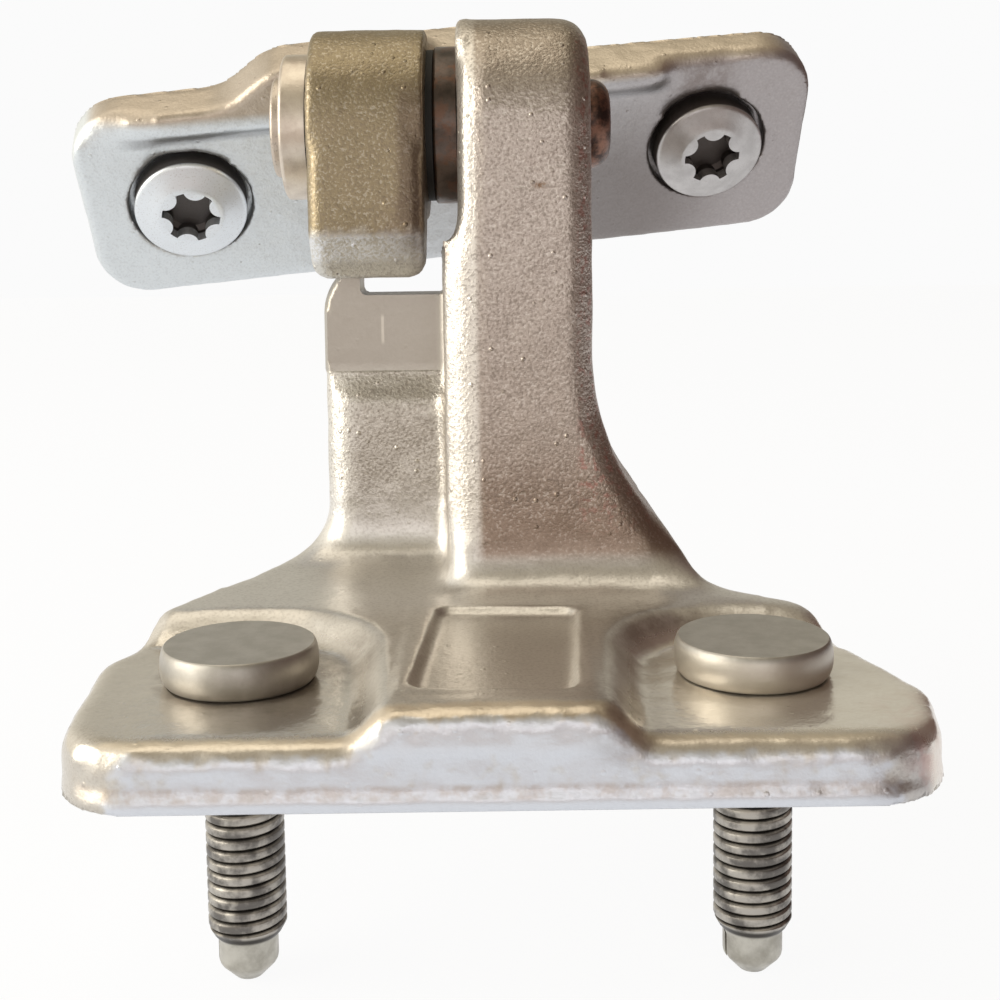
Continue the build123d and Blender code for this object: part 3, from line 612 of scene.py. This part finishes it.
def shade(piece, degrees=35):
    take(piece)
    bpy.ops.object.shade_smooth_by_angle(angle=math.radians(degrees))


def thread_blank(name, low, high):
    """Rolled thread from low to high: one groove swept up by a screw modifier, ends closed."""
    select_none()
    bpy.ops.mesh.primitive_plane_add(size=MM, location=(0, 0, 0))
    piece = bpy.context.object
    rename(piece, name)
    bpy.ops.object.mode_set(mode="EDIT")
    bpy.ops.mesh.select_all(action="SELECT")
    bpy.ops.mesh.merge(type="CENTER")
    bpy.ops.mesh.select_all(action="SELECT")
    bpy.ops.transform.translate(value=(THREAD_ROOT_R, 0, low))
    depth = THREAD_R - THREAD_ROOT_R
    for out, up in THREAD_STEPS:
        bpy.ops.mesh.extrude_vertices_move(
            TRANSFORM_OT_translate={"value": (out * depth, 0, up * PITCH)}
        )
    bpy.ops.object.mode_set(mode="OBJECT")
    apply_modifier(
        piece, "helix", "SCREW", axis="Z", angle=math.tau, screw_offset=PITCH, steps=64, render_steps=64,
        iterations=math.ceil((high - low) / PITCH), use_merge_vertices=True, merge_threshold=THREAD_WELD,
    )
    bpy.ops.object.mode_set(mode="EDIT")
    bpy.ops.mesh.select_all(action="SELECT")
    bpy.ops.mesh.remove_doubles(threshold=THREAD_WELD)
    bpy.ops.mesh.select_all(action="DESELECT")
    bpy.ops.mesh.select_non_manifold()
    bpy.ops.mesh.fill()
    bpy.ops.mesh.select_all(action="SELECT")
    bpy.ops.mesh.normals_make_consistent(inside=False)
    bpy.ops.object.mode_set(mode="OBJECT")
    return piece


def seat(piece, body, node, material):
    """Rides a modelled piece on its body, in place of its plain solid."""
    piece.data.materials.clear()
    piece.data.materials.append(material)
    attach(piece, body)
    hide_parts(node)


def put(piece, matrix):
    """Turns and moves a piece's mesh; its object stays at the origin."""
    take(piece)
    piece.matrix_world = matrix
    bpy.ops.object.transform_apply(location=True, rotation=True, scale=True)


def copy_of(piece, name):
    take(piece)
    bpy.ops.object.duplicate()
    other = bpy.context.object
    rename(other, name)
    return other


def stud():
    """Pressed-in stud: barrel-sided flat head, plain shank, rolled thread and dog point."""
    base = STUD_SEAT_Z
    head = turned("threaded_stud_left", (
        (7.45 * MM, base),
        (7.70 * MM, base + 0.30 * MM),
        (7.88 * MM, base + 0.80 * MM),
        (7.98 * MM, base + 1.35 * MM),
        (STUD_HEAD_R, base + 1.80 * MM),
        (7.98 * MM, base + 2.25 * MM),
        (7.92 * MM, base + 2.75 * MM),
        (7.82 * MM, base + 3.20 * MM),
        (7.72 * MM, base + 3.48 * MM),
        (7.63 * MM, base + 3.62 * MM),
        (7.52 * MM, base + STUD_HEAD_HEIGHT),
        (3.0 * MM, base + STUD_HEAD_HEIGHT - 0.02 * MM),
    ), 128)
    shank = turned("shank", ((STUD_SEAT_R, 0.0), (STUD_SEAT_R, base + 0.2 * MM)))
    blank = thread_blank("thread", STUD_TIP_Z - 2 * PITCH, 3 * PITCH)
    step_z = STUD_TIP_Z + STUD_POINT_LENGTH
    envelope = turned("envelope", (
        (1.2 * MM, STUD_TIP_Z),
        (1.45 * MM, STUD_TIP_Z + 0.06 * MM),
        (2.80 * MM, STUD_TIP_Z + 1.45 * MM),
        (2.98 * MM, STUD_TIP_Z + 1.75 * MM),
        (STUD_POINT_R, STUD_TIP_Z + 2.1 * MM),
        (STUD_POINT_R, step_z - 0.5 * MM),
        (3.2 * MM, step_z - 0.1 * MM),
        (3.5 * MM, step_z + 0.25 * MM),
        (THREAD_R, step_z + 1.15 * MM),
        (THREAD_R + 0.02 * MM, step_z + 1.3 * MM),
        (THREAD_R + 0.02 * MM, 1.0 * MM),
    ), 64)
    combine(blank, envelope, "INTERSECT")
    join(head, shank, blank)
    shade(head)
    return head


def build_studs(material):
    left = stud()
    right = copy_of(left, "threaded_stud_right")
    put(left, Matrix.Translation((-STUD_X, 0, 0)))
    put(right, Matrix.Translation((STUD_X, 0, 0)))
    seat(left, "pillar_side", "stud_left", material)
    seat(right, "pillar_side", "stud_right", material)


def socket_cutter():
    """Six-lobe recess: a round punch with six flutes."""
    low = SOCKET_FLOOR_Z
    punch = turned("punch", (
        (SOCKET_R * 0.82, low),
        (SOCKET_R, low + 0.5 * MM),
        (SOCKET_R, low + 6 * MM),
    ), 96)
    flutes = []
    for step in range(LOBES):
        angle = math.tau * step / LOBES
        flute = turned("flute", ((SOCKET_FLUTE_R, low - MM), (SOCKET_FLUTE_R, low + 8 * MM)), 40)
        at = (SOCKET_FLUTE_AT * math.cos(angle), SOCKET_FLUTE_AT * math.sin(angle), 0)
        put(flute, Matrix.Translation(at))
        flutes.append(flute)
    for flute in flutes:
        combine(punch, flute, "DIFFERENCE")
    return punch


def screw():
    """Pan head screw: low dome, six-lobe recess, plain neck and rolled thread."""
    head = turned("door_screw_left_threaded", (
        (7.4 * MM, SCREW_SEAT_Z),
        (SCREW_HEAD_R, SCREW_SEAT_Z + 0.3 * MM),
        (SCREW_HEAD_R, 1.15 * MM),
        (7.64 * MM, 1.38 * MM),
        (7.46 * MM, 1.58 * MM),
        (7.15 * MM, 1.74 * MM),
        (6.5 * MM, 1.99 * MM),
        (5.6 * MM, 2.40 * MM),
        (4.9 * MM, 2.74 * MM),
        (4.6 * MM, 2.88 * MM),
        (4.3 * MM, 2.96 * MM),
    ), 128)
    combine(head, socket_cutter(), "DIFFERENCE")
    neck = turned("neck", ((3.6 * MM, -LEAF_THICK - MM), (3.6 * MM, SCREW_SEAT_Z + 0.2 * MM)))
    blank = thread_blank("thread", SCREW_TIP_Z - 2 * PITCH, 0.0)
    start = -LEAF_THICK - 0.35 * MM
    envelope = turned("envelope", (
        (2.4 * MM, SCREW_TIP_Z),
        (2.9 * MM, SCREW_TIP_Z + 0.1 * MM),
        (THREAD_R, SCREW_TIP_Z + 1.2 * MM),
        (THREAD_R + 0.02 * MM, SCREW_TIP_Z + 1.4 * MM),
        (THREAD_R + 0.02 * MM, start - 0.7 * MM),
        (3.5 * MM, start),
    ), 64)
    combine(blank, envelope, "INTERSECT")
    join(head, neck, blank)
    shade(head, 30)
    return head


def leaf_frame():
    """Matrix of the leaf's front face at rest: X along the plate, Z out of its face."""
    level = math.cos(LEAF_TILT)
    along = Vector((math.cos(LEAF_YAW) * level, math.sin(LEAF_YAW) * level, math.sin(LEAF_TILT)))
    front = Vector((math.sin(LEAF_YAW), -math.cos(LEAF_YAW), 0))
    up = front.cross(along)
    turn = Matrix((along, up, front)).transposed().to_4x4()
    door = Matrix.Translation(PIN) @ Matrix.Rotation(OPEN_ANGLE, 4, "X")
    return door @ Matrix.Translation(LEAF_ORIGIN) @ turn


def build_screws(material):
    on_leaf = leaf_frame()
    left = screw()
    right = copy_of(left, "door_screw_right_threaded")
    spin_left = Matrix.Rotation(SOCKET_TURN_LEFT, 4, "Z")
    spin_right = Matrix.Rotation(SOCKET_TURN_RIGHT, 4, "Z")
    put(left, on_leaf @ Matrix.Translation((-SCREW_HALF_SPACING, 0, 0)) @ spin_left)
    put(right, on_leaf @ Matrix.Translation((SCREW_HALF_SPACING, 0, 0)) @ spin_right)
    seat(left, "door_side", "door_screw_left", material)
    seat(right, "door_side", "door_screw_right", material)


def forging(node, name, grid):
    """A copy of a solid on an even fine mesh, ready to be softened."""
    piece = bpy.data.objects.new(name, nodes[node].data.copy())
    piece.data.name = name
    bpy.context.scene.collection.objects.link(piece)
    take(piece)
    bpy.ops.object.mode_set(mode="EDIT")
    bpy.ops.mesh.select_all(action="SELECT")
    bpy.ops.mesh.remove_doubles(threshold=SOLID_WELD)
    bpy.ops.object.mode_set(mode="OBJECT")
    apply_modifier(piece, "grid", "REMESH", mode="VOXEL", voxel_size=grid)
    return piece


def pick(piece, inside):
    """Selects in edit mode the vertices that a test on their place in millimetres picks."""
    take(piece)
    bpy.ops.object.mode_set(mode="EDIT")
    bpy.ops.mesh.select_mode(type="VERT")
    bpy.ops.mesh.select_all(action="DESELECT")
    bpy.ops.object.mode_set(mode="OBJECT")
    for vertex in piece.data.vertices:
        vertex.select = inside(vertex.co / MM)
    bpy.ops.object.mode_set(mode="EDIT")


def soften(piece, inside, repeat):
    """Smooths the picked vertices."""
    pick(piece, inside)
    bpy.ops.mesh.vertices_smooth(factor=0.5, repeat=repeat)
    bpy.ops.object.mode_set(mode="OBJECT")


def ripple(piece, inside, size, height):
    """Faint dents of a forged skin, pressed inwards where the test on the place says so."""
    name = piece.name + "_skin"
    group = piece.vertex_groups.new(name=name)
    group.add([v.index for v in piece.data.vertices if inside(v.co / MM)], 1.0, "REPLACE")
    texture = bpy.data.textures.new(name, "CLOUDS")
    texture.noise_scale = size
    texture.noise_depth = 2
    apply_modifier(
        piece, "waves", "DISPLACE", texture=texture, texture_coords="LOCAL", strength=height, mid_level=1.0,
        vertex_group=group.name,
    )
    piece.vertex_groups.clear()


def near_pin(place, radius):
    return math.hypot(place.y - PIN.y / MM, place.z - PIN.z / MM) < radius


def bracket_is_cut(place):
    """Machined places of the bracket, which keep their edges."""
    stop_face = place.z > 33.0 and place.x < -6.2 and place.y > 36.8
    spot_face = place.x < -2.5 and near_pin(place, 17.6) and place.z > 44
    pin_hole = near_pin(place, 6.5)
    panel = abs(place.x) < 9.5 and abs(place.y) < 14.5 and 8.0 < place.z < 9.9
    return stop_face or spot_face or pin_hole or panel or place.z < 0.35


def bracket_is_skin(place):
    return not bracket_is_cut(place)


def is_front_rim(place):
    return place.y < -17.2 and place.z > 1.4


def is_rim_blend(place):
    """Where the dented front rim runs out into the pockets and the ridge."""
    return -18.4 < place.y < -15.6 and place.z > 5.5


def is_edge(place):
    """Upright edge of the plate, in front and at the sides, above the parting line's bead."""
    return 1.4 < place.z < 5.6 and (place.y < -14 or abs(place.x) > 38)


def is_arm_band(place):
    """Left front edge of the arm, broadly rounded."""
    return -5.4 < place.x < -0.8 and 15 < place.z < 80 and place.y < 26.5


def is_stop_face(place):
    return place.z > 33.8 and place.x < -6.6 and abs(place.y - STOP_FACE_Y_MM) < 0.35


def is_rear_crest(place):
    """Crest between the foot and the arm."""
    in_crest = 8.6 < place.z < 19 and -14 < place.x < 36 and 14 < place.y < 30
    return in_crest and bracket_is_skin(place)


def is_shoulder_foot(place):
    return 8.6 < place.z < 17 and place.x < -4 and 24 < place.y < 46


def is_right_crest(place):
    """Crest behind the right stud pocket."""
    return 7.6 < place.z < 18 and 18 < place.x < 40 and 12 < place.y < 46


def is_right_corner(place):
    """Rear right corner of the plate."""
    return 4.5 < place.z < 14 and 30 < place.x < 44 and 8 < place.y < 30


def is_ledge(place):
    """Ledge of the shoulder under the stop face."""
    return 27 < place.z < 32.8 and -20 < place.x < -6.4 and place.y < 40


def is_edge_blend(place):
    """The upright edge and the rounds next to it."""
    return 1.2 < place.z < 7 and (place.y < -12 or abs(place.x) > 36)


def build_bracket(material):
    piece = forging("pillar_bracket", "forged_bracket", BRACKET_GRID)
    soften(piece, bracket_is_skin, 3)
    soften(piece, is_rear_crest, 30)
    soften(piece, is_shoulder_foot, 24)
    soften(piece, is_right_crest, 30)
    soften(piece, is_right_corner, 40)
    soften(piece, is_arm_band, 80)
    soften(piece, is_ledge, 10)
    ripple(piece, bracket_is_skin, 4.5 * MM, 0.24 * MM)
    ripple(piece, is_front_rim, 1.3 * MM, 0.38 * MM)
    soften(piece, is_rim_blend, 4)
    pick(piece, is_edge)
    bpy.ops.transform.shrink_fatten(value=-EDGE_DRAWN_IN)
    bpy.ops.object.mode_set(mode="OBJECT")
    soften(piece, is_edge_blend, 3)
    pick(piece, is_stop_face)
    bpy.ops.transform.resize(value=(1, 0, 1), center_override=(0, STOP_FACE_Y_MM * MM, 0))
    bpy.ops.object.mode_set(mode="OBJECT")
    shade(piece, 60)
    seat(piece, "pillar_side", "pillar_bracket", material)


def counterbore_cutter(on_leaf):
    """Both counterbores of the leaf, with a small chamfer at the mouth."""
    rings = (
        (COUNTERBORE_R + 0.06 * MM, SCREW_SEAT_Z),
        (COUNTERBORE_R + 0.06 * MM, -0.25 * MM),
        (COUNTERBORE_R + 0.45 * MM, 0.20 * MM),
        (COUNTERBORE_R + 0.60 * MM, 1.2 * MM),
    )
    left = turned("counterbores", rings, 128)
    right = copy_of(left, "counterbore")
    put(left, on_leaf @ Matrix.Translation((-SCREW_HALF_SPACING, 0, 0)))
    put(right, on_leaf @ Matrix.Translation((SCREW_HALF_SPACING, 0, 0)))
    join(left, right)
    return left


def build_leaf(material):
    piece = forging("door_leaf", "forged_leaf", LEAF_GRID)
    on_leaf = leaf_frame()
    to_leaf = on_leaf.inverted()

    def is_cut(place):
        spot = to_leaf @ (place * MM) / MM
        bore = near_pin(place, 9.9) and -24 < place.x < -6
        return bore or spot.z < -5.6

    def is_skin(place):
        return not is_cut(place)

    def at_rib_end(place):
        spot = to_leaf @ (place * MM) / MM
        on_right = 21 < spot.x < 41 and spot.y > 5.5
        on_left = -50 < spot.x < -39 and spot.y > 7
        return (on_right or on_left) and spot.z > -1.5

    def under_rib(place):
        spot = to_leaf @ (place * MM) / MM
        return -44 < spot.x < 34 and 6 < spot.y < 14 and -1 < spot.z < 2.4 and is_skin(place)

    def on_top(place):
        spot = to_leaf @ (place * MM) / MM
        return spot.y > 11 and spot.z < 0 and is_skin(place) and abs(spot.x + 15) > 9

    soften(piece, is_skin, 4)
    soften(piece, at_rib_end, 90)
    soften(piece, under_rib, 14)
    soften(piece, on_top, 12)
    ripple(piece, is_skin, 4 * MM, 0.20 * MM)
    combine(piece, counterbore_cutter(on_leaf), "DIFFERENCE")
    shade(piece, 50)
    seat(piece, "door_side", "door_leaf", material)


def coat(node, material):
    """Gives a solid that stays in view its finish."""
    nodes[node].data.materials.clear()
    nodes[node].data.materials.append(material)


def build_floor():
    """Pale floor: white to the camera and in reflections, and it keeps the hinge's soft shadow."""
    select_none()
    bpy.ops.mesh.primitive_plane_add(size=1, location=FLOOR_AT)
    floor = bpy.context.object
    rename(floor, "floor")
    floor.scale = FLOOR_SIZE
    f = Finish("floor")
    f.surface(Base_Color=(0.95, 0.95, 0.95), Roughness=0.9)
    light = f.node("ShaderNodeEmission", {}, {"Color": (1.0, 1.0, 1.0), "Strength": 1.0})
    seen = f.node("ShaderNodeLightPath", {}, {}, "Is Camera Ray")
    seen = seen + f.node("ShaderNodeLightPath", {}, {}, "Is Glossy Ray")
    seen = seen + f.node("ShaderNodeLightPath", {}, {}, "Is Transmission Ray")
    plain = Value(f, f.shader.outputs[0])
    glow = f.between(seen, 0.0, 1.0) * FLOOR_GLOW
    mixed = f.node("ShaderNodeMixShader", {}, {0: glow, 1: plain, 2: light})
    f.feed(f.tree.nodes["Material Output"].inputs["Surface"], mixed)
    floor.data.materials.append(f.material)


def lamp(name, location, target, size, power, colour):
    """Soft rectangular lamp aimed at a point."""
    data = bpy.data.lights.new(name, "AREA")
    data.shape = "RECTANGLE"
    data.size, data.size_y = size
    data.energy = power
    data.color = colour
    made = bpy.data.objects.new(name, data)
    bpy.context.scene.collection.objects.link(made)
    made.location = location
    aim = Vector(target) - Vector(location)
    made.rotation_euler = aim.to_track_quat("-Z", "Y").to_euler()


# Tints of the room
ROOM_FRONT = (0.58, 0.49, 0.44)
ROOM_BACK = (0.62, 0.585, 0.505)
ROOM_WALL = (0.58, 0.56, 0.485)
ROOM_OVERHEAD = (0.33, 0.285, 0.20)
ROOM_WINDOW = (1.10, 1.05, 0.94)
ROOM_RIGHT = (0.13, 0.08, 0.068)
ROOM_UNDER = (0.46, 0.365, 0.305)


def build_room():
    """Soft room round the stage: pale window side on the left, dim warm right, olive overhead."""
    select_none()
    bpy.ops.mesh.primitive_uv_sphere_add(segments=32, ring_count=16, radius=ROOM_R)
    dome = bpy.context.object
    rename(dome, "room")
    dome.visible_camera = False
    f = Finish("room")
    side = f.axis("X") * (1 / ROOM_R)
    depth = f.axis("Y") * (1 / ROOM_R)
    height = f.axis("Z") * (1 / ROOM_R)
    colour = f.mix(ROOM_FRONT, ROOM_BACK, f.between(depth, -0.3, 0.6))
    colour = f.mix(colour, ROOM_WALL, f.between(height, 0.03, 0.25) * 0.8)
    colour = f.mix(colour, ROOM_OVERHEAD, f.between(height, 0.35, 0.85))
    colour = f.mix(colour, ROOM_WINDOW, f.between(side, -0.25, -0.75))
    colour = f.mix(colour, ROOM_RIGHT, f.between(side, 0.25, 0.65))
    colour = f.mix(colour, ROOM_UNDER, f.between(height, -0.03, -0.25) * 0.85)
    light = f.node("ShaderNodeEmission", {}, {"Color": colour, "Strength": 1.0})
    f.feed(f.tree.nodes["Material Output"].inputs["Surface"], light)
    # The dome lies all round, so rays find it without being aimed at its faces, which would be slow
    f.material.cycles.emission_sampling = "NONE"
    dome.data.materials.append(f.material)
    world = bpy.data.worlds.new("backdrop")
    bpy.context.scene.world = world
    world.use_nodes = True
    world.node_tree.nodes["Background"].inputs["Color"].default_value = (*BACKDROP, 1.0)


def build_lamps():
    centre = (0, 0.02, 0.035)
    lamp("window", (-0.55, -0.16, 0.20), centre, size=(0.45, 0.5), power=2.4, colour=(1.0, 0.95, 0.85))
    lamp("overhead", (-0.10, 0.05, 0.60), centre, size=(0.5, 0.4), power=0.8, colour=(1.0, 0.93, 0.80))
    lamp("front", (0.0, -0.75, 0.10), centre, size=(0.6, 0.25), power=0.45, colour=(0.97, 0.97, 1.0))


def build_camera():
    data = bpy.data.cameras.new("camera")
    data.sensor_width = SENSOR
    data.lens = FOCAL_PX / IMAGE * SENSOR
    data.shift_y = (AXIS_PX_Y - IMAGE / 2) / IMAGE
    data.clip_start = 0.01
    camera = bpy.data.objects.new("camera", data)
    bpy.context.scene.collection.objects.link(camera)
    tilt = Matrix.Rotation(math.radians(90) - CAMERA_PITCH, 4, "X")
    roll = Matrix.Rotation(-CAMERA_ROLL, 4, "Z")
    camera.matrix_world = Matrix.Translation(CAMERA_AT) @ tilt @ roll
    bpy.context.scene.camera = camera
    bpy.context.scene.view_settings.view_transform = "Standard"


washer_steel = turned_finish(
    "washer_steel", tint=(0.72, 0.65, 0.56), shade=(0.55, 0.48, 0.41),
    rust=0.08, roughness=0.30, metallic=0.85,
)
ring_steel = turned_finish(
    "ring_steel", tint=(0.13, 0.10, 0.085), shade=(0.05, 0.04, 0.033),
    rust=0.35, roughness=0.28, metallic=0.85,
)
bush_black = turned_finish(
    "bush_polymer", tint=(0.012, 0.011, 0.010), shade=(0.006, 0.006, 0.006),
    rust=0.0, roughness=0.6, metallic=0.0,
)
coat("hinge_pin", pin_finish())
coat("retaining_washer", washer_steel)
coat("thrust_ring", ring_steel)
coat("bush_left", bush_black)
coat("bush_right", bush_black)
build_bracket(bracket_finish())
build_leaf(leaf_finish())
build_studs(stud_finish())
build_screws(screw_finish())
build_room()
build_floor()
build_lamps()
build_camera()
